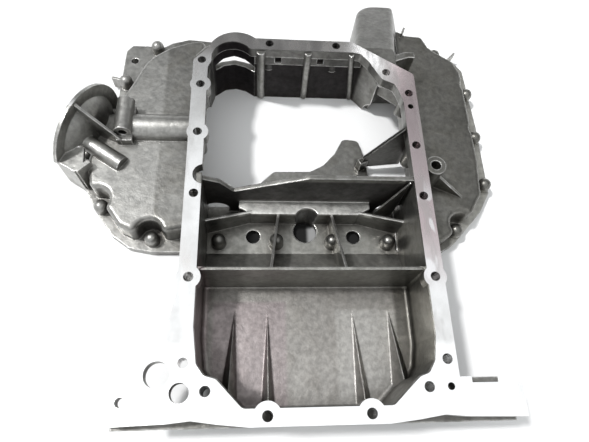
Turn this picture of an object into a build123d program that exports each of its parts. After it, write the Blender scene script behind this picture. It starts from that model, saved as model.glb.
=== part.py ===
from build123d import *
import os
from math import cos, sin, radians, degrees, hypot, atan2, sqrt

# Engine oil pan, upper part: one die-cast aluminium piece.
# Origin: on the machined rail face, midway between the two rear rail bolts.
# +Z up, +X to the right, +Y away from the gearbox face.

# --- heights, measured down from the rail face ---
pan_depth = 97.0           # lower cover face
wing_depth = 54.0          # flat roof of both side wings
rear_floor = 68.0          # floor of the rear compartment
shelf_depth = 60.0         # raised shelf in the middle compartment

# --- thicknesses ---
rail_thick = 14.0          # machined rail
wall = 5.0                 # cast walls and roofs
rib = 3.0                  # thin ribs and baffles
floor_thick = 6.0          # compartment floors
flange_thick = 11.0        # lower cover flange
floor_rise = 8.0           # middle floor above the lower cover face

# --- heights that follow the depth ---
flange_top = pan_depth - flange_thick   # upper side of the lower cover flange
mid_floor = pan_depth - floor_rise      # floor of the middle compartment

# --- machined rail ---
rail_left = -135.0
rail_right = 134.5
rail_width = 17.5
rail_rear = -9.0           # gearbox face
rail_front = 436.5
bolt_row = 125.0           # side bolt rows to the centre plane
rail_bolt = 5.0            # clearance hole radius
swell = 12.0               # round boss round a rail bolt
lobe_outer = 35.0          # round lobe at the far left corner
lobe_inner = 26.0
notch = 12.0               # crescent cut in the left rail
boss_deep = 40.0           # column under each rail bolt
corner_bolts = [(100, 390), (-125, 47)]   # rail bolts in short columns
corner_deep = 20.0
dowel = 3.5
dowel_deep = 12.0

# --- gearbox end ---
gear_left = -190.0
gear_right = 195.0
gear_thick = 14.0
gear_ends = 26.0           # height of the gearbox face at its two ends
gear_relief = 24.0         # depth of the step along the two outer top edges
plate_front = 25.0          # far edge of the right corner plate
lug_front = 30.5           # far edge of the lug under it

# --- compartments ---
baffle_y = 140.0           # front side of the cross wall
front_wall_y = 241.0       # rear side of the front baffle
baffle_drop = 3.0          # cross wall to the rail face
shelf_y = 224.0            # rear edge of the raised shelf
shelf_half = 64.0
oil_bore = 14.5
drain_hole = 8.5
arch_half = 15.0           # half width of the two openings in the front baffle
arch_rise = 7.0            # from the middle floor up to where they turn round

# --- lower cover bosses ---
ball = 8.5                 # domed head of a blind cover bolt boss
ball_rise = 8.0            # its centre above the cover flange
cover_bolt = 3.4           # tapped hole radius
cover_bolt_deep = 17.0
scallop = 15.0             # clearance in the wing roof round a boss
roof_round = 6.0           # rounding of the wing roof edges
flange_round = 5.0

# --- flanged horn on the left wing ---
horn_x = -268.0
horn_y = 334.0
horn_depth = 63.0
horn_radius = 63.0
horn_thick = 4.0
horn_turn = 156.0          # direction that the flange faces, from +X
dome_radius = 53.0
dome_rise = 22.0
foot_drop = 20.0           # near foot ends this far above the horn centre

# --- tubes on the left wing ---
cross_tube = 17.5
cross_y = 336.0
end_boss = 10.5
end_boss_x = -218.5
end_boss_depth = 38.0
boss_bore = 5.0
slant_tube = 10.0

# --- open front bay ---
crease_arch = 27.0         # arched lower edge of the wall right of the crease

# --- front right hump ---
hump_end = 548.0
hump_drop = 44.0           # top of the hump at its far end
hump_side = 113.0          # its right side leans out from here
hump_lean = 0.49           # outward lean for each mm down
hump_right = 141.5
hump_round = 7.0


def plate(points, top, bottom, radius=0.0):
    """Upright slab with a polygon outline, its corners rounded if asked."""
    face = make_face(Polyline(*points, close=True))
    if radius:
        face = fillet(face.vertices(), radius)
    return slab(face, top, bottom)


def soften(face, radius):
    """Outline with its outer corners and then its inner corners rounded."""
    opened = offset(offset(face, -radius), radius)
    return offset(offset(opened, radius), -radius)


def slab(face, top, bottom):
    """Upright slab with the outline of a face."""
    return Pos(0, 0, bottom) * extrude(face, top - bottom)


def block(x0, x1, y0, y1, z0, z1):
    """Rectangular block between two corners."""
    middle = Pos((x0 + x1) / 2, (y0 + y1) / 2, (z0 + z1) / 2)
    return middle * Box(x1 - x0, y1 - y0, z1 - z0)


def pin(x, y, radius, top, bottom):
    """Upright round bar."""
    return Pos(x, y, (top + bottom) / 2) * Cylinder(radius, top - bottom)


def bar(start, end, radius):
    """Round bar between two points."""
    a, b = Vector(*start), Vector(*end)
    return Plane(origin=(a + b) / 2, z_dir=b - a) * Cylinder(radius, (b - a).length)


def web(start, end, thick, top_start, top_end, bottom):
    """Thin upright rib with a straight top edge between two heights."""
    length = hypot(end[0] - start[0], end[1] - start[1])
    turn = degrees(atan2(end[1] - start[1], end[0] - start[0]))
    side = Polyline((0, bottom), (length, bottom), (length, top_end), (0, top_start), close=True)
    upright = extrude(Plane.XZ * make_face(side), thick / 2, both=True)
    return Pos(start[0], start[1], 0) * Rot(0, 0, turn) * upright


def ridge(foot, tip, half, base, rise):
    """Three-sided pyramid that lies on a floor and tapers to a point."""
    a, b = Vector(foot[0] - half, foot[1], base), Vector(foot[0] + half, foot[1], base)
    c, d = Vector(*foot, base + rise), Vector(*tip, base)
    sides = [Face(Wire.make_polygon(p, close=True)) for p in ((a, b, c), (a, b, d), (b, c, d), (c, a, d))]
    return Part(Solid(Shell(sides)).wrapped)


def cover_bosses_left():
    return [(-181, 199), (-244, 240), (-269, 312), (-246, 372), (-235, 427), (-198, 488)]


def cover_bosses_right():
    return [(191, 212), (240, 277), (239, 349), (239, 421), (202, 491)]


def cover_bosses_middle():
    return [(-103, 197), (-34, 197), (34, 197), (103, 197)]


def rail_bolts():
    """Centres of the rail bolt holes."""
    left = [(-bolt_row, y) for y in (129, 221, 298, 364, 400)]
    right = [(bolt_row, y) for y in (47, 129, 221, 286, 359.5)]
    return left + right + [(-47.5, 0), (47.5, 0), (-43.4, 429), (40, 429), (-104, 22), (104, 22)] + corner_bolts


def rail_outer():
    """Outer edge of the machined rail."""
    edge = [
        (rail_left, rail_rear), (rail_right, rail_rear), (rail_right, rail_front - 48),
        (60, rail_front), (-70, rail_front), (-110, rail_front - 8), (rail_left, rail_front - 37),
    ]
    return soften(make_face(Polyline(*edge, close=True)) + Pos(-84, rail_front - 26.5) * Circle(lobe_outer), 6)


def rear_edge(inset):
    """Inner edge of the rail round the rear compartment, drawn in by an inset."""
    left, right = rail_left + rail_width + inset, rail_right - rail_width - inset
    near = rail_rear + 15.5 + inset
    return [
        (left, baffle_y), (left, 80), (left + 4, 46), (-106 + inset, near + 29),
        (-95 + inset, near + 26), (-70, near), (69, near), (91 - inset, near + 20),
        (97 - inset, near + 25), (106 - inset, near + 28), (right - 4, 46), (right, 70), (right, baffle_y),
    ]


def front_edge():
    """Inner edge of the rail round the open front bay."""
    left, right, far = rail_left + rail_width, rail_right - rail_width, rail_front - 17
    edge = [
        (left, front_wall_y), (right, front_wall_y), (right, far - 72), (right - 4, far - 57),
        (109, far - 47), (94, far - 40), (89, far - 31), (81, far - 15), (71, far - 2), (60, far),
        (-70, far), (-108, far - 8), (left, far - 30),
    ]
    return soften(make_face(Polyline(*edge, close=True)) + Pos(-88, far - 15.5) * Circle(lobe_inner), 5)


def rail():
    """Machined rail with round swellings at some of its bolts."""
    body = slab(rail_outer(), 0, -rail_thick)
    body -= plate(rear_edge(0), 0, -rail_thick, 7)
    body -= slab(front_edge(), 0, -rail_thick)
    left, right = rail_left + rail_width, rail_right - rail_width
    body -= block(left, right, baffle_y - rib, front_wall_y + rib, -rail_thick, 0)
    for x, y in ((-bolt_row, 129), (bolt_row, 129), (-bolt_row, 298), (-bolt_row, 364)):
        body += pin(x, y, swell, 0, -rail_thick)
    near = block(rail_left, rail_right, rail_rear, baffle_y, -rail_thick, 0)
    for x in (-47.5, 47.5):
        body += pin(x, 0, swell + 1, 0, -rail_thick) & near
    return body - pin(left + 2, 244, notch, 0, -rail_thick)


def gearbox_end():
    """Flat gearbox face with an arched lower edge, and the two corner plates."""
    top = Polyline((gear_left, -gear_ends), (gear_left, 0), (gear_right, 0), (gear_right, -gear_ends))
    low = ThreePointArc((gear_right, -gear_ends), (0, -pan_depth), (gear_left, -gear_ends))
    face = make_face(top + low)
    body = Pos(0, rail_rear + gear_thick, 0) * extrude(Plane.XZ * face, gear_thick)
    left = [
        (rail_left + 1, rail_rear), (gear_left, rail_rear), (gear_left - 2, 16), (gear_left + 8, 38),
        (gear_left + 30, 55), (rail_left - 8, 78), (rail_left - 1, 108), (rail_left + 1, 116),
    ]
    body += plate(left, 0, -rail_thick)
    body += block(rail_right - 1, gear_right, rail_rear, plate_front, -rail_thick, 0)
    body += block(rail_right - 1, 146, plate_front - 1, lug_front, -rail_thick, 0)
    return body + block(145, 175, plate_front - 1, lug_front, -rail_thick - 4, -rail_thick / 2)


def rear_steps():
    """Shallow curved cuts along the top of the gearbox face, left and right."""
    body = Part()
    for side, end in ((-1, gear_left - 4), (1, gear_right + 4)):
        step = Polyline(
            (side * 64, 0), (side * 92, 3), (side * 116, 6.5), (side * 138, 4.5), (end, 3), (end, -2),
            (side * 64, -2), close=True,
        )
        body += Pos(0, rail_rear, 0) * slab(make_face(step), 1, -gear_relief)
    return body


def tub():
    """Rear and middle compartments, outside and inside."""
    left, right = rail_left + rail_width - wall - 1, rail_right - rail_width + wall + 1
    body = plate(rear_edge(-wall), -1, -rear_floor - floor_thick, 7)
    body += block(left, right, baffle_y - rib, front_wall_y + wall, -pan_depth + 1, -1)
    cavity = plate(rear_edge(1), 0, -rear_floor, 7)
    body -= fillet(cavity.faces().sort_by(Axis.Z)[0].edges(), 5)
    inner_left, inner_right = rail_left + rail_width, rail_right - rail_width
    middle = block(inner_left, inner_right, baffle_y, front_wall_y + wall, -mid_floor, 0)
    return body - middle


def cross_wall():
    """Thin wall between the rear and middle compartments, with its sloped foot."""
    left, right = rail_left + rail_width - 2, rail_right - rail_width + 2
    body = block(left, right, baffle_y - rib, baffle_y, -rear_floor - 1, -baffle_drop)
    foot = Polyline(
        (baffle_y - 1, -mid_floor - 1), (184, -mid_floor - 1), (184, -mid_floor),
        (baffle_y + 3, -rear_floor), (baffle_y - 1, -rear_floor), close=True,
    )
    return body + Pos(left, 0, 0) * extrude(Plane.YZ * make_face(foot), right - left)


def rear_flutes():
    """Tapering ridges in the rear floor, over the gearbox bolt pockets."""
    body = Part()
    for start, end, half, rise in ((-87, -81, 11, 20), (-45, -45.5, 8, 11), (56, 49, 9, 11), (100, 90, 14, 20)):
        body += ridge((start, rail_rear + 12), (end, 114), half, -rear_floor - 0.5, rise)
    return body


def front_baffle():
    """Thin wall before the open bay; its top edge dips on the left."""
    left, right = rail_left + rail_width - 2, rail_right - rail_width + 2
    edge = Polyline(
        (left, -mid_floor - 1), (left, -6), (-99, -15), (-84, -36), (0, -baffle_drop),
        (right, -baffle_drop), (right, -mid_floor - 1), close=True,
    )
    body = Pos(0, front_wall_y + wall, 0) * extrude(Plane.XZ * make_face(edge), wall)
    spring = arch_rise - mid_floor
    for x in (-106, 106):
        arch = block(x - arch_half, x + arch_half, front_wall_y, front_wall_y + wall, -mid_floor, spring)
        crown = Pos(x, front_wall_y + wall / 2, spring) * Rot(90, 0, 0) * Cylinder(arch_half, wall)
        body -= arch + crown
    return body


def shelf():
    """Raised shelf with sloping ends, its low side walls and two gussets."""
    end, low = shelf_half + 15, -mid_floor - 1
    edge = [
        (-shelf_half, shelf_y), (shelf_half, shelf_y), (end, shelf_y + 8), (end, front_wall_y + 1),
        (-end, front_wall_y + 1), (-end, shelf_y + 8),
    ]
    body = plate(edge, -shelf_depth, low)
    for side, end in ((-1, rail_left + rail_width - 1), (1, rail_right - rail_width + 1)):
        corner = (side * (shelf_half - 1), shelf_y + rib)
        body += web(corner, (end, shelf_y - 12), rib, -shelf_depth, -shelf_depth + 8, low)
        start = (side * 43.5, baffle_y - 1)
        body += web(start, (side * 32, shelf_y + 1), rib, -38, -shelf_depth - 2, low)
    corner = (rail_right - rail_width - 3, front_wall_y - 2)
    return body + web(corner, (86, shelf_y + 5), rib - 1, -4, -shelf_depth, low)


def bay_floor():
    """Low plate in front of the baffle with its rounded lobe and gusset."""
    y = front_wall_y
    edge = [
        (-60, y), (-57, y + 35), (-36, y + 56), (12, y + 57), (30, y + 67), (46, y + 85), (58, y + 108),
        (79, y + 106), (87, y + 75), (92, y),
    ]
    body = plate(edge, -mid_floor, -mid_floor - floor_thick, 8)
    gusset = web((78, y + 65), (rail_right - 4, y + 71), rib + 1, -64, 22, -mid_floor + 4)
    foot = web((74, y + 62), (84, y + 67), 8, -70, -70, -mid_floor - 1)
    return body + foot + (gusset - block(-400, 400, 0, 600, -2, 60))


def bay_walls():
    """Side beams under the rail and the far wall with its three ribs."""
    far = rail_front - 10
    body = block(rail_left, rail_left + wall + 1, front_wall_y, far - 20, -wing_depth - wall, -1)
    body += block(rail_right - wall - 1, rail_right, front_wall_y, far - 45, -wing_depth - wall, -1)
    left, right = rail_left, rail_right
    outer = [
        (left, far - 26), (-121, far - 24), (-116, far - 6), (-102, far + 5), (-88, far + 8), (-74, far + 4),
        (-62, far - 4), (76, far - 4), (98, far - 29), (116, far - 12), (134, far - 5),
        (right + 8, far - 5), (right + 8, far + 3), (130, far + 3), (112, far - 4), (99, far - 17),
        (82, far + 6), (-58, far + 6),
        (-68, far + 10), (-88, far + 15), (-106, far + 11), (-124, far - 2), (left, far - 16),
    ]
    body += plate(outer, -rail_thick / 2, -pan_depth)
    window = Pos(-86, far + 8, -86) * Rot(90, 0, 0) * Cylinder(55, 40)
    body -= window & block(-112, -62, far - 20, far + 30, -46, -30)
    for start, end, radius in ((-54, -53, 5.5), (5, 7, 4.5), (60, 73, 3.5)):
        body += bar((start, far - 7, -4), (end, far - 4, -pan_depth + 3), radius)
    body -= bar((112, far - 40, -pan_depth), (140, far + 12, -pan_depth), crease_arch)
    return body + block(-62, 76, far - 6, far, -28, -8) - notches(far)


def notches(far):
    """Shallow pockets in the band under the far rail."""
    body = Part()
    for x in (-32, 22):
        body += block(x - 4, x + 4, far - 7, far - 3, -25, -11)
    return body


def wing_roof(side):
    """Plan outline of the raised part of a wing; side is -1 left or 1 right."""
    if side < 0:
        return [
            (-129, 206), (-160, 200), (-198, 198), (-216, 207), (-228, 224), (-253, 254),
            (-260, 290), (-250, 345), (-230, 382), (-218, 410), (-206, 440), (-196, 453), (-176, 468),
            (-150, 479), (-129, 482),
        ]
    return [
        (129, 190), (163, 190), (196, 211), (222, 252), (226, 300), (226, 440), (218, 461),
        (198, 476), (186, 486), (178, 505), (154, 507), (144, 514), (129, 514),
    ]


def wing_flange(side):
    """Plan outline of the lower cover flange of a wing."""
    if side < 0:
        return [
            (-120, 185), (-183, 185), (-208, 190), (-230, 206), (-253, 238), (-267, 266),
            (-270, 275), (-276, 284), (-264, 330), (-248, 380), (-244, 410), (-242, 486),
            (-234, 496), (-189, 496), (-180, 503), (-156, 511), (-120, 508),
        ]
    return [
        (115, 185), (172, 186), (190, 197), (231, 240), (248, 268), (249, 372), (245, 470),
        (233, 488), (214, 493), (200, 505), (192, 524), (166, 529), (115, 529),
    ]


def wing(side, bosses):
    """One hollow side wing: filleted roof, cover flange and scalloped bosses."""
    roof = make_face(Polyline(*wing_roof(side), close=True))
    for x, y in bosses:
        roof -= Pos(x, y) * Circle(scallop)
    roof = offset(offset(roof, -roof_round - 1), roof_round + 1)
    solid = extrude(roof, pan_depth - wing_depth)
    body = Pos(0, 0, -pan_depth) * fillet(solid.faces().sort_by(Axis.Z)[-1].edges(), roof_round)
    body += plate(wing_flange(side), -flange_top, -pan_depth, flange_round)
    return body


def wing_hollow(side, bosses):
    """Space under a wing roof, open at the bottom and to the front bay."""
    room = offset(make_face(Polyline(*wing_roof(side), close=True)), -wall, kind=Kind.INTERSECTION)
    for x, y in bosses:
        room -= Pos(x, y) * Circle(scallop + wall)
    body = Pos(0, 0, -pan_depth) * extrude(room, pan_depth - wing_depth - wall)
    inner = side * (bolt_row + 30)
    reach = block(min(inner, side * 100), max(inner, side * 100), front_wall_y + wall + 6, rail_front - 20,
                  -pan_depth, -wing_depth - wall)
    return body + reach


def cover_boss(x, y):
    """Domed boss that stands on the lower cover flange."""
    top = ball_rise - flange_top
    return pin(x, y, ball, top, -pan_depth) + Pos(x, y, top) * Sphere(ball)


def horn():
    """Round flange of the horn with a dome on its back and a stiffening web."""
    a = radians(horn_turn)
    back = Vector(-cos(a), -sin(a), 0)
    centre = Vector(horn_x, horn_y, -horn_depth)
    face = Plane(origin=centre, x_dir=(sin(a), -cos(a), 0), z_dir=back)
    body = face * Pos(0, 0, horn_thick / 2) * Cylinder(horn_radius, horn_thick)
    cap = (dome_radius ** 2 + dome_rise ** 2) / (2 * dome_rise)
    dome = face * Pos(0, 0, dome_rise - cap) * Sphere(cap)
    dome = dome & (face * Pos(0, 0, dome_rise / 2 + 1) * Cylinder(dome_radius + 5, dome_rise))
    edge = Polyline((1, 0), (1, horn_radius - 1), (52, 20), (52, 0), close=True)
    fin = extrude(make_face(edge), rib / 2, both=True)
    upright = Plane(origin=centre, x_dir=back, z_dir=back.cross(Vector(0, 0, 1)))
    body += dome + upright * fin
    body -= face * Pos(-horn_radius - 10, -horn_radius + foot_drop, 15) * Box(2 * horn_radius, 2 * horn_radius, 60)
    return (body & block(-400, 0, 0, 600, -pan_depth, 30)) + horn_foot()


def horn_foot():
    """Box gusset that carries the near foot of the horn."""
    a, top = radians(horn_turn), -horn_depth + foot_drop
    x, y = horn_x - sin(a) * horn_radius, horn_y + cos(a) * horn_radius
    corner = (x + 27, y - 7.5)
    edge = [(x, y + 6), (x + 27, y - 8.5), (x + 34, y + 4), (x + 32, y + 24), (x + 10, y + 24)]
    body = plate(edge, top, top - wall)
    body += web((x + 3, y + 8), corner, wall, top, top, -pan_depth + 2)
    return body + web(corner, (x + 40, y + 6), wall, top, top, -pan_depth + 2)


def tubes():
    """Cross tube, bored end boss on its pedestal, and the slanting tube."""
    boss = (end_boss_x, -end_boss_depth)
    body = bar((rail_left + 2, cross_y, -wing_depth), (end_boss_x, cross_y, -wing_depth), cross_tube)
    body += bar((boss[0], cross_y - 17, boss[1]), (boss[0], cross_y + 29, boss[1]), end_boss)
    pedestal = [(boss[0] - 8, cross_y - 24), (boss[0] + end_boss, cross_y - 24), (boss[0] + end_boss, cross_y + 26)]
    body += plate(pedestal + [(boss[0] - end_boss, cross_y + 26), (boss[0] - end_boss, cross_y - 16)],
                  boss[1] - 6, -wing_depth - 2)
    return body + bar((-274, 320.5, -wing_depth + 4), (-218, 284, -wing_depth), slant_tube)


def hump():
    """Hollow hood that slopes down in front of the far right corner."""
    edge = Polyline(
        (66, rail_front - 6), (85, hump_end), (hump_right, hump_end), (hump_right, 450),
        (rail_right + 4, rail_front - 60), (112, rail_front - 40), close=True,
    )
    plan = make_face(edge)
    for corner, radius in (((85, hump_end), 30), ((hump_right, hump_end), 14)):
        plan = fillet(plan.vertices().sort_by_distance(corner)[0], radius)
    slope = Polyline(
        (rail_front - 70, -3), (rail_front - 6, -3), (hump_end, -hump_drop), (hump_end + 20, -hump_drop - 8),
        (hump_end + 20, -pan_depth), (rail_front - 70, -pan_depth), close=True,
    )
    body = slab(plan, 0, -pan_depth) & extrude(Plane.YZ * make_face(slope), 400, both=True)
    low = hump_side + hump_lean * (pan_depth + 1)
    side = Polyline((-50, 1), (hump_side, 1), (low, -pan_depth), (-50, -pan_depth), close=True)
    body = body & (Pos(0, 600, 0) * extrude(Plane.XZ * make_face(side), 300))
    top = max(body.faces(), key=lambda f: f.area if f.normal_at().Z > 0.7 else 0)
    upper = top.edges().filter_by(lambda e: e.bounding_box().max.Y > rail_front - 2)
    return fillet(upper, hump_round)


def hump_hollow():
    """Space under the hood."""
    edge = [
        (75, rail_front + 5), (86, hump_end - 30), (106, hump_end - 10), (122, hump_end - 8),
        (130, 505), (130, rail_front + 5),
    ]
    low = plate(edge, -rail_thick, -pan_depth)
    slope = Polyline(
        (rail_front, -rail_thick), (hump_end, -hump_drop - wall - 3), (hump_end, 0), (rail_front, 0), close=True,
    )
    return low - extrude(Plane.YZ * make_face(slope), 400, both=True)


def small_features():
    """Ear fins, spike and the ringed bore boss beside the rail."""
    body = web((-236, 424), (-253, 430), rib, -72, -74, -pan_depth + 4)
    body += web((220, 483), (234, 496), rib, -82, -76, -flange_top - 4)
    body += web((146, 500), (150, 509), rib, -46, -44, -wing_depth - 8)
    body += pin(151, 268, swell, -14, -wing_depth - 2)
    body += web((160, 262), (196, 246), rib, -30, -wing_depth, -wing_depth - 2)
    return body


def bolt_columns():
    """Columns under the rail bolts that no wall already carries."""
    body = Part()
    for x, y in rail_bolts():
        deep = corner_deep if (x, y) in corner_bolts else boss_deep
        body += pin(x, y, rail_bolt + 3, -1, -deep)
    return body


def holes():
    """Every drilled, bored and cast hole."""
    body = Part()
    for x, y in rail_bolts():
        body += pin(x, y, rail_bolt, 1, -boss_deep - 1)
    for x, y in ((bolt_row, 340), (bolt_row, 22)):
        body += pin(x, y, dowel, 1, -dowel_deep)
    for x, y, radius in ((-148, 37, 12), (-127, 21, 9), (-178, 14, 4.5)):
        body += pin(x, y, radius, 1, -rail_thick - 1)
    for x in (-62, 62):
        body += pin(x, 206, drain_hole, -mid_floor + 1, -pan_depth - 1)
    body += bar((2, shelf_y - 6, -shelf_depth + 2), (2, shelf_y - 12, -pan_depth - 1), oil_bore)
    body += pin(151, 268, 6, 0, -wing_depth - wall - 8)
    body += pin(-229, 469, 5, -flange_top + 40, -pan_depth - 1)
    y0, y1 = cross_y - 40, cross_y + 12
    body += bar((end_boss_x, y0, -end_boss_depth), (end_boss_x, y1, -end_boss_depth), boss_bore)
    for x, y in cover_bosses_left() + cover_bosses_right() + cover_bosses_middle():
        body += pin(x, y, cover_bolt, -pan_depth + cover_bolt_deep, -pan_depth - 1)
    return body


def oil_pan():
    """The whole casting."""
    left, right = cover_bosses_left(), cover_bosses_right()
    body = rail() + gearbox_end() + wing(-1, left) + wing(1, right) + hump()
    body -= wing_hollow(-1, left) + wing_hollow(1, right) + hump_hollow()
    body += tub() + cross_wall() + rear_flutes() + front_baffle() + shelf()
    body += bay_walls() + bay_floor() + horn() + tubes() + small_features() + bolt_columns()
    for x, y in left + right + cover_bosses_middle():
        body += cover_boss(x, y)
    return body - rear_steps() - holes()


if __name__ == "__main__":
    os.makedirs("parts", exist_ok=True)
    pan = oil_pan()
    export_step(pan, "parts/oil_pan_casting.step")
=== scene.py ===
from math import cos, radians, sin

import bpy
from mathutils import Matrix, Vector

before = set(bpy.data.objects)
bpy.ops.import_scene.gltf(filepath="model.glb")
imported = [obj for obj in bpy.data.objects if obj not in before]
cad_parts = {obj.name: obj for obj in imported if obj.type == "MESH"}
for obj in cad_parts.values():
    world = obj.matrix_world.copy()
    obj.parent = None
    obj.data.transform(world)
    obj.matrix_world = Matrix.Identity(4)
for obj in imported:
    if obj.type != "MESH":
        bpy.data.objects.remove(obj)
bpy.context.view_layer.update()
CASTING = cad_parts["oil_pan_casting"]

# Machined planes of the casting, in metres.
PAN_DEPTH = 0.097           # rail face down to the lower cover face
REAR_FACE = -0.009          # gearbox face

# The rail's bolt holes: centres in mm, and the length of the drilled wall in metres.
SIDE_BOLTS = [(-125, y) for y in (129, 221, 298, 364, 400)] + [(125, y) for y in (47, 129, 221, 286, 359.5)]
END_BOLTS = [(-47.5, 0), (47.5, 0), (-43.4, 429), (40, 429), (-104, 22), (104, 22)]
BOLT_ROWS = [
    (SIDE_BOLTS + END_BOLTS, 0.0402),       # in long columns
    ([(-125, 47), (100, 390)], 0.0202),     # in short columns
]
BORE_REACH = 0.0053         # the bore's radius of 5 mm, and a little

# The photo's camera, calibrated on the bolt holes.
PHOTO_WIDTH = 589.0         # pixels
FOCAL_LENGTH = 482.06       # pixels
CAMERA_PLACE = (-0.06107, -0.00953, 0.46358)
TILT, YAW, ROLL = radians(66.31), radians(12.05), radians(11.51)

# Colours of the casting.
SKIN_DARK, SKIN_LIGHT = (0.19, 0.187, 0.176), (0.28, 0.276, 0.262)
STAIN = (0.12, 0.115, 0.10)
# painted shade for corners and hollows
PAINTED_CORNER_SHADE = (0.05, 0.045, 0.038)
# painted shade for the rearward inner faces
PAINTED_REAR_SHADE = (0.012, 0.009, 0.011)
# worn metal and painted highlight on the edges
WORN_HIGHLIGHT_METAL = (0.68, 0.67, 0.65)
SILVER_DARK, SILVER_LIGHT = (0.70, 0.695, 0.69), (0.86, 0.86, 0.86)
PINK_SILVER = (0.52, 0.425, 0.44)
SMEAR = (0.45, 0.43, 0.42)
STREAK = (0.88, 0.87, 0.88)
# painted shade for the left part of the far rail
PAINTED_FAR_RAIL_SHADE = (0.30, 0.285, 0.275)
# painted reflection, bright on the near end of the rails
PAINTED_NEAR_GLARE = (0.97, 0.97, 0.97)
# painted shade for the gearbox face
PAINTED_GEARBOX_SHADE = (0.24, 0.235, 0.225)
METAL = 0.9                 # share of bare metal in both finishes

# Lighter and darker areas of the skin, most of them painted light or painted shade, a few real stains and tints:
# middle, half size, colour, strength.
STAIN_AND_PAINTED_LIGHT_AREAS = [
    # right wing: its own olive tone, partly painted shade; its flange: painted light
    ((0.22, 0.33, -0.05), (0.09, 0.25, 0.06), (0.10, 0.096, 0.082), 0.5),
    ((0.235, 0.35, -0.09), (0.05, 0.25, 0.01), (0.50, 0.49, 0.45), 0.8),
    # outer part of the left wing: lighter tone, partly painted light; the horn on it: painted light
    ((-0.2375, 0.32, -0.05), (0.0605, 0.20, 0.06), (0.40, 0.395, 0.38), 0.55),
    ((-0.28, 0.34, -0.04), (0.045, 0.08, 0.08), (0.44, 0.435, 0.415), 0.6),
    # rear floor and its right: painted light; its left: a violet stain
    ((0.0, 0.06, -0.075), (0.11, 0.078, 0.015), (0.34, 0.32, 0.30), 0.5),
    ((0.07, 0.05, -0.068), (0.04, 0.06, 0.004), (0.44, 0.43, 0.41), 0.5),
    ((-0.065, 0.06, -0.068), (0.04, 0.06, 0.004), (0.27, 0.215, 0.23), 0.45),
    # rear compartment's right wall: painted light; its foot: painted shade over the fillet's highlight
    ((0.1145, 0.07, -0.035), (0.0045, 0.07, 0.035), (0.25, 0.245, 0.22), 0.7),
    ((0.107, 0.07, -0.067), (0.009, 0.08, 0.006), (0.07, 0.067, 0.060), 0.8),
    # middle floor and top of the shelf: painted light; hood: darker
    ((0.0, 0.19, -0.089), (0.118, 0.048, 0.004), (0.34, 0.335, 0.31), 0.6),
    ((0.0, 0.232, -0.060), (0.08, 0.012, 0.003), (0.85, 0.84, 0.80), 0.95),
    ((0.104, 0.5, -0.02), (0.04, 0.065, 0.04), (0.17, 0.167, 0.158), 0.7),
    # slope at the foot of the cross wall and the cross wall: painted light; gusset in the bay: painted shade
    ((0.0, 0.163, -0.079), (0.118, 0.021, 0.012), (0.52, 0.51, 0.48), 0.8),
    ((0.0, 0.1385, -0.035), (0.118, 0.003, 0.034), (0.32, 0.315, 0.285), 0.55),
    ((0.10, 0.309, -0.045), (0.028, 0.010, 0.045), (0.04, 0.039, 0.035), 0.9),
    # tubes on the left wing: lighter; rear compartment's left wall: a brown-violet tint, lightened as painted light
    ((-0.175, 0.336, -0.042), (0.046, 0.020, 0.022), (0.36, 0.355, 0.34), 0.6),
    ((-0.115, 0.08, -0.035), (0.0045, 0.08, 0.034), (0.42, 0.33, 0.34), 0.6),
]


# ---------------------------------------------------------------- node helpers

class Nodes:
    """Short calls that add shader nodes to one empty tree and link them."""

    def __init__(self, tree):
        self.tree = tree
        tree.nodes.clear()

    def add(self, kind, settings=None, **inputs):
        """New node with its settings and its inputs, each a number, a colour or an output."""
        node = self.tree.nodes.new(kind)
        for key, value in (settings or {}).items():
            setattr(node, key, value)
        for key, value in inputs.items():
            self.feed(node, key.replace("_", " "), value)
        return node

    def feed(self, node, key, value):
        """Link an output to an input, or set the input."""
        if isinstance(value, bpy.types.NodeSocket):
            self.tree.links.new(value, node.inputs[key])
        else:
            node.inputs[key].default_value = value

    def math(self, operation, *values):
        node = self.add("ShaderNodeMath", {"operation": operation})
        for i, value in enumerate(values):
            self.feed(node, i, value)
        return node.outputs[0]

    def vector(self, operation, a, b):
        """Distance or dot product of an output and a fixed vector."""
        node = self.add("ShaderNodeVectorMath", {"operation": operation})
        self.feed(node, 0, a)
        self.feed(node, 1, b)
        return node.outputs["Value"]

    def noise(self, coords, scale, detail=3.0, rough=0.55, distortion=0.0):
        node = self.add(
            "ShaderNodeTexNoise", Vector=coords, Scale=scale, Detail=detail, Roughness=rough, Distortion=distortion,
        )
        return node.outputs["Fac"]

    def ramp(self, value, low, high, out_low=0.0, out_high=1.0):
        """Smooth step of a value between two limits."""
        node = self.add("ShaderNodeMapRange", {"interpolation_type": "SMOOTHSTEP"}, Value=value)
        for key, number in (("From Min", low), ("From Max", high), ("To Min", out_low), ("To Max", out_high)):
            node.inputs[key].default_value = number
        return node.outputs["Result"]

    def mix(self, factor, a, b):
        """Colour between two colours, of which the first may be an output."""
        node = self.add("ShaderNodeMix", {"data_type": "RGBA"})
        self.feed(node, 0, factor)
        self.feed(node, 6, (*a, 1.0) if isinstance(a, tuple) else a)
        self.feed(node, 7, (*b, 1.0))
        return node.outputs[2]

    def stretch(self, coords, sizes, turn=0.0):
        """Coordinates scaled along each axis and turned about Z."""
        node = self.add("ShaderNodeMapping", Vector=coords, Scale=sizes, Rotation=(0.0, 0.0, turn))
        return node.outputs["Vector"]

    def bump(self, height, strength, **inputs):
        """Normal tilted by a height in metres."""
        return self.add("ShaderNodeBump", Height=height, Distance=1.0, Strength=strength, **inputs).outputs["Normal"]

    def seen(self):
        """1 for rays from the camera and from reflections."""
        path = self.add("ShaderNodeLightPath")
        return self.math("MAXIMUM", path.outputs["Is Camera Ray"], path.outputs["Is Glossy Ray"])


# ---------------------------------------------------------------- masks

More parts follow.
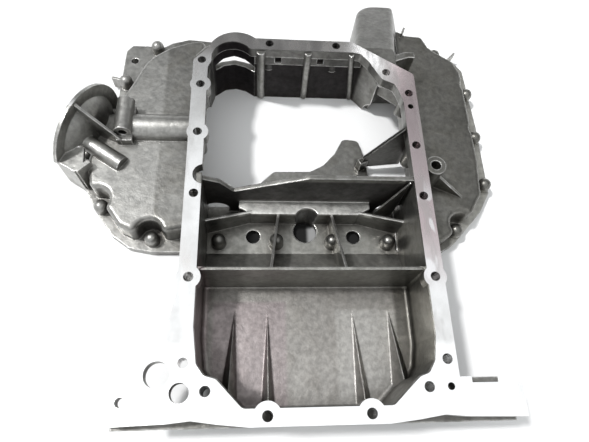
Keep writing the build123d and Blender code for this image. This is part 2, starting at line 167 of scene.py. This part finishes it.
def near(n, value, target):
    """1 where a coordinate lies on a machined plane, within 0.3 mm."""
    return n.math("COMPARE", value, target, 0.0003)


def patch(n, place, middle, reach, soft=0.003):
    """1 inside a box in the part's frame, with a soft border."""
    inside = 1.0
    for axis, centre, half in zip("XYZ", middle, reach):
        distance = n.math("ABSOLUTE", n.math("SUBTRACT", place.outputs[axis], centre))
        inside = n.math("MULTIPLY", inside, n.ramp(distance, half + soft, half - soft))
    return inside


def bore_mask(n, coords, place, normal):
    """1 on the drilled walls of the rail's bolt holes."""
    flat = n.stretch(coords, (1.0, 1.0, 0.0))
    drilled = 0.0
    for bolts, depth in BOLT_ROWS:
        nearest = 1.0
        for x, y in bolts:
            gap = n.vector("DISTANCE", flat, (x / 1000.0, y / 1000.0, 0.0))
            nearest = n.math("MINIMUM", nearest, gap)
        inside = n.math("LESS_THAN", nearest, BORE_REACH)
        above = n.math("GREATER_THAN", place.outputs["Z"], -depth)
        drilled = n.math("MAXIMUM", drilled, n.math("MULTIPLY", inside, above))
    upright = n.math("LESS_THAN", n.math("ABSOLUTE", normal.outputs["Z"]), 0.5)
    return n.math("MULTIPLY", upright, drilled)


def plane_mask(n, place, normal):
    """1 on the rail face, the lower cover face and the gearbox face."""
    z, facing = place.outputs["Z"], normal.outputs["Z"]
    top = n.math("MULTIPLY", near(n, z, 0.0), n.math("GREATER_THAN", facing, 0.97))
    low = n.math("MULTIPLY", near(n, z, -PAN_DEPTH), n.math("LESS_THAN", facing, -0.97))
    rearward = n.math("LESS_THAN", normal.outputs["Y"], -0.97)
    rear = n.math("MULTIPLY", near(n, place.outputs["Y"], REAR_FACE), rearward)
    return n.math("MAXIMUM", top, n.math("MAXIMUM", low, rear))


def rear_shade_mask(n, place, normal):
    """Rearward inner faces painted dark as shade: the far wall and, less, the front baffle."""
    far = patch(n, place, (-0.025, 0.431, -0.050), (0.105, 0.0105, 0.050))
    baffle = patch(n, place, (0.0, 0.2425, -0.050), (0.13, 0.003, 0.040))
    rearward = n.ramp(normal.outputs["Y"], -0.2, -0.6)
    return n.math("MULTIPLY", rearward, n.math("MAXIMUM", far, n.math("MULTIPLY", baffle, 0.85)))


# ---------------------------------------------------------------- finishes

def cast_tone(n, coords, place, medium, rear_shade):
    """Greys of the as-cast skin: stains, lighter and darker areas, most of them painted light and shade, painted
    shade on the rearward inner faces, painted shade in the corners.
    """
    broad = n.noise(coords, 9.0, 4.0, 0.6)
    grey = n.mix(n.ramp(broad, 0.35, 0.65), SKIN_DARK, SKIN_LIGHT)
    grey = n.mix(n.ramp(medium, 0.42, 0.7, 0.0, 0.55), grey, STAIN)
    # areas: mostly painted light and shade, a few stains and tints
    for middle, reach, colour, share in STAIN_AND_PAINTED_LIGHT_AREAS:
        grey = n.mix(n.math("MULTIPLY", patch(n, place, middle, reach), share), grey, colour)
    # painted shade on the far wall and the front baffle
    grey = n.mix(n.math("MULTIPLY", rear_shade, 0.95), grey, PAINTED_REAR_SHADE)
    # painted shade: darker where ambient occlusion finds corners and hollows
    hollow = n.add("ShaderNodeAmbientOcclusion", {"samples": 6}, Distance=0.03)
    corner_shade = n.ramp(hollow.outputs["AO"], 0.85, 0.25)
    return n.mix(n.math("MULTIPLY", corner_shade, 0.7), grey, PAINTED_CORNER_SHADE)


def wear_and_highlight_edges(n, coords, place, floor):
    """1 on sharp edges, painted bright as worn metal and as highlight, but not on the rear floor and not right under
    the rail face.
    """
    edge = n.add("ShaderNodeAmbientOcclusion", {"samples": 6, "inside": True}, Distance=0.0016)
    wear_and_highlight = n.ramp(edge.outputs["AO"], 0.95, 0.6)
    wear_and_highlight = n.math("MULTIPLY", wear_and_highlight, n.ramp(n.noise(coords, 60.0), 0.35, 0.6, 0.35, 1.0))
    wear_and_highlight = n.math("MULTIPLY", wear_and_highlight, n.ramp(floor, 0.0, 1.0, 1.0, 0.0))
    return n.math("MULTIPLY", wear_and_highlight, n.ramp(place.outputs["Z"], -0.002, -0.004))


def cast_shader(n, coords, place, normal):
    """Dull as-cast aluminium with edges painted bright, partly wear and partly highlight, and a fine grain."""
    fine = n.noise(coords, 700.0, 2.0, 0.5)
    lumps = n.noise(coords, 160.0, 3.0, 0.6)
    medium = n.noise(coords, 45.0, 5.0, 0.62, 0.4)
    rear_shade = rear_shade_mask(n, place, normal)
    floor = patch(n, place, (0.0, 0.06, -0.06), (0.112, 0.075, 0.02))
    wear_and_highlight = wear_and_highlight_edges(n, coords, place, floor)
    # edges: worn metal and painted highlight
    grey = n.mix(wear_and_highlight, cast_tone(n, coords, place, medium, rear_shade), WORN_HIGHLIGHT_METAL)
    tone = n.add("ShaderNodeHueSaturation", Value=n.ramp(lumps, 0.3, 0.7, 0.84, 1.16), Color=grey)

    rough = n.ramp(medium, 0.3, 0.7, 0.30, 0.44)
    for mask, change in ((wear_and_highlight, -0.10), (floor, 0.09), (rear_shade, 0.4)):
        rough = n.math("ADD", rough, n.math("MULTIPLY", mask, change))

    height = n.math("ADD", n.math("MULTIPLY", fine, 0.00012), n.math("MULTIPLY", medium, 0.0009))
    height = n.math("ADD", height, n.math("MULTIPLY", lumps, 0.00025))
    soft = n.add("ShaderNodeBevel", {"samples": 6}, Radius=0.0022)
    return n.add(
        "ShaderNodeBsdfPrincipled", Base_Color=tone.outputs["Color"], Roughness=rough, Metallic=METAL,
        Normal=n.bump(height, 0.7, Normal=soft.outputs["Normal"]),
    )


def machined_tone(n, coords, place, normal, smear):
    """Silvers of the milled faces: pink right rail, smears, painted shade on the far rail's left part, painted
    reflection bright on the near end, painted shade on the gearbox face.
    """
    x, y = place.outputs["X"], place.outputs["Y"]
    silver = n.mix(n.ramp(n.noise(coords, 14.0, 4.0, 0.6), 0.35, 0.65), SILVER_DARK, SILVER_LIGHT)
    right_rail = n.math("MULTIPLY", n.ramp(x, 0.09, 0.12), n.ramp(y, 0.10, 0.19))
    silver = n.mix(n.math("MULTIPLY", right_rail, 0.85), silver, PINK_SILVER)
    silver = n.mix(n.ramp(smear, 0.48, 0.66, 0.0, 0.5), silver, SMEAR)

    wiped = n.noise(n.stretch(coords, (95.0, 28.0, 30.0), 0.6), 1.0, 1.0, 0.4)
    zone = patch(n, place, (0.125, 0.175, 0.0), (0.02, 0.055, 0.01), 0.02)
    silver = n.mix(n.math("MULTIPLY", n.ramp(wiped, 0.54, 0.62), zone), silver, STREAK)

    # painted shade: the far rail's left part darker, in place of a darker reflection
    far_rail_shade = n.math("MULTIPLY", n.ramp(y, 0.40, 0.42), n.ramp(x, 0.075, 0.045))
    silver = n.mix(n.math("MULTIPLY", far_rail_shade, 0.75), silver, PAINTED_FAR_RAIL_SHADE)
    # painted reflection: the near end bright
    silver = n.mix(n.ramp(y, 0.068, 0.058), silver, PAINTED_NEAR_GLARE)
    # painted shade on the rearward gearbox face
    return n.mix(n.math("LESS_THAN", normal.outputs["Y"], -0.9), silver, PAINTED_GEARBOX_SHADE)


def machined_shader(n, coords, place, normal):
    """Milled aluminium with cutter marks, smears and gasket residue."""
    smear = n.noise(n.stretch(coords, (55.0, 16.0, 30.0), 0.3), 1.0, 3.0, 0.5, 0.2)
    rings = n.add(
        "ShaderNodeTexWave", {"wave_type": "RINGS", "rings_direction": "Z"}, Vector=coords, Scale=260.0,
        Distortion=1.2,
    )
    return n.add(
        "ShaderNodeBsdfPrincipled", Base_Color=machined_tone(n, coords, place, normal, smear),
        Roughness=n.ramp(smear, 0.35, 0.7, 0.14, 0.30), Metallic=METAL,
        Normal=n.bump(n.math("MULTIPLY", rings.outputs["Fac"], 0.00003), 0.5),
    )


def new_material(name):
    """Material with an empty tree, and the short calls for that tree."""
    material = bpy.data.materials.new(name)
    material.use_nodes = True
    return material, Nodes(material.node_tree)


def casting_material():
    """As-cast skin everywhere but on the machined faces and in the bolt holes."""
    material, n = new_material("cast_aluminium")
    texture = n.add("ShaderNodeTexCoord")
    coords = texture.outputs["Object"]
    place = n.add("ShaderNodeSeparateXYZ", Vector=coords)
    normal = n.add("ShaderNodeSeparateXYZ", Vector=texture.outputs["Normal"])
    mask = n.math("MAXIMUM", plane_mask(n, place, normal), bore_mask(n, coords, place, normal))
    blend = n.add("ShaderNodeMixShader", Fac=mask)
    n.feed(blend, 1, cast_shader(n, coords, place, normal).outputs[0])
    n.feed(blend, 2, machined_shader(n, coords, place, normal).outputs[0])
    n.add("ShaderNodeOutputMaterial", Surface=blend.outputs[0])
    return material


def floor_material():
    """White ground that keeps the shadows, with painted shade under the tub where it shows through the tub's holes,
    less of it under the bore.
    """
    material, n = new_material("white_ground")
    place = n.add("ShaderNodeSeparateXYZ", Vector=n.add("ShaderNodeTexCoord").outputs["Object"])
    # painted shade under the tub
    shade_under_tub = patch(n, place, (0.0, 0.115, 0.0), (0.11, 0.12, 1.0), 0.006)
    # less painted shade under the bore, where the key light's spot shows
    less_shade_under_bore = patch(n, place, (0.020, 0.208, 0.0), (0.014, 0.014, 1.0))
    pale = n.mix(shade_under_tub, (0.87, 0.87, 0.87), (0.02, 0.02, 0.02))
    pale = n.mix(less_shade_under_bore, pale, (0.30, 0.30, 0.30))
    lift = n.math("MULTIPLY", n.seen(), n.ramp(shade_under_tub, 0.0, 1.0, 0.02, 0.0))
    both = n.add("ShaderNodeAddShader")
    n.feed(both, 0, n.add("ShaderNodeBsdfDiffuse", Color=pale).outputs[0])
    n.feed(both, 1, n.add("ShaderNodeEmission", Strength=lift).outputs[0])
    n.add("ShaderNodeOutputMaterial", Surface=both.outputs[0])
    return material


# ---------------------------------------------------------------- stage

def link(name, data):
    """New object in the scene."""
    obj = bpy.data.objects.new(name, data)
    bpy.context.scene.collection.objects.link(obj)
    return obj


def facing(direction):
    """Turn that lets a lamp shine against a direction."""
    return Vector(direction).to_track_quat("Z", "Y").to_euler()


def ground():
    """Large pale floor just under the lower cover face."""
    mesh = bpy.data.meshes.new("ground")
    size, z = 30.0, -PAN_DEPTH - 0.0002
    mesh.from_pydata([(-size, -size, z), (size, -size, z), (size, size, z), (-size, size, z)], [], [(0, 1, 2, 3)])
    mesh.materials.append(floor_material())
    link("ground", mesh)


def lights():
    """A parallel key light from the left, a weak far lamp for highlights, and the room."""
    beam = bpy.data.lights.new("key", "SUN")
    beam.energy, beam.angle = 2.5, radians(5.0)
    link("key", beam).rotation_euler = facing((-0.563, 0.1, 1.0))

    panel = bpy.data.lights.new("far", "AREA")
    panel.shape, panel.size, panel.size_y, panel.energy = "RECTANGLE", 0.3, 0.3, 0.7
    place, aim = Vector((0.68, 2.04, 1.8)), Vector((0.0, 0.3, 0.0))
    lamp = link("far", panel)
    lamp.location, lamp.rotation_euler = place, facing(place - aim)

    bpy.context.scene.world = studio_world()


def studio_world():
    """Dim room with a wide ceiling light, a little to the left, and a white backdrop low down."""
    world = bpy.data.worlds.new("studio")
    world.use_nodes = True
    n = Nodes(world.node_tree)
    towards = n.add("ShaderNodeTexCoord").outputs["Generated"]
    ceiling = n.vector("DOT_PRODUCT", towards, Vector((-0.15, -0.25, 1.0)).normalized())
    room = n.ramp(ceiling, cos(radians(60)), cos(radians(40)), 0.16, 1.15)
    height = n.add("ShaderNodeSeparateXYZ", Vector=towards).outputs["Z"]
    backdrop = n.math("MULTIPLY", n.ramp(height, sin(radians(32)), sin(radians(12))), n.seen())
    strength = n.add("ShaderNodeMix", {"data_type": "FLOAT"})
    for i, value in ((0, backdrop), (2, room), (3, 1.0)):
        n.feed(strength, i, value)
    light = n.add("ShaderNodeBackground", Color=(0.97, 0.99, 1.0, 1.0), Strength=strength.outputs[0])
    n.add("ShaderNodeOutputWorld", Surface=light.outputs[0])
    return world


def camera():
    """The photo's hand-held view from above the gearbox end."""
    ahead = Vector((sin(YAW) * cos(TILT), cos(YAW) * cos(TILT), -sin(TILT)))
    level = Vector((cos(YAW), -sin(YAW), 0.0))
    up = level.cross(ahead)
    right = cos(ROLL) * level + sin(ROLL) * up
    top = cos(ROLL) * up - sin(ROLL) * level
    data = bpy.data.cameras.new("camera")
    data.sensor_fit, data.sensor_width = "HORIZONTAL", 36.0
    data.lens = FOCAL_LENGTH * data.sensor_width / PHOTO_WIDTH
    data.clip_start = 0.01
    obj = link("camera", data)
    obj.matrix_world = Matrix.Translation(CAMERA_PLACE) @ Matrix((right, top, -ahead)).transposed().to_4x4()
    bpy.context.scene.camera = obj


camera()
ground()
lights()
CASTING.data.materials.clear()
CASTING.data.materials.append(casting_material())
bpy.context.scene.view_settings.view_transform = "Standard"
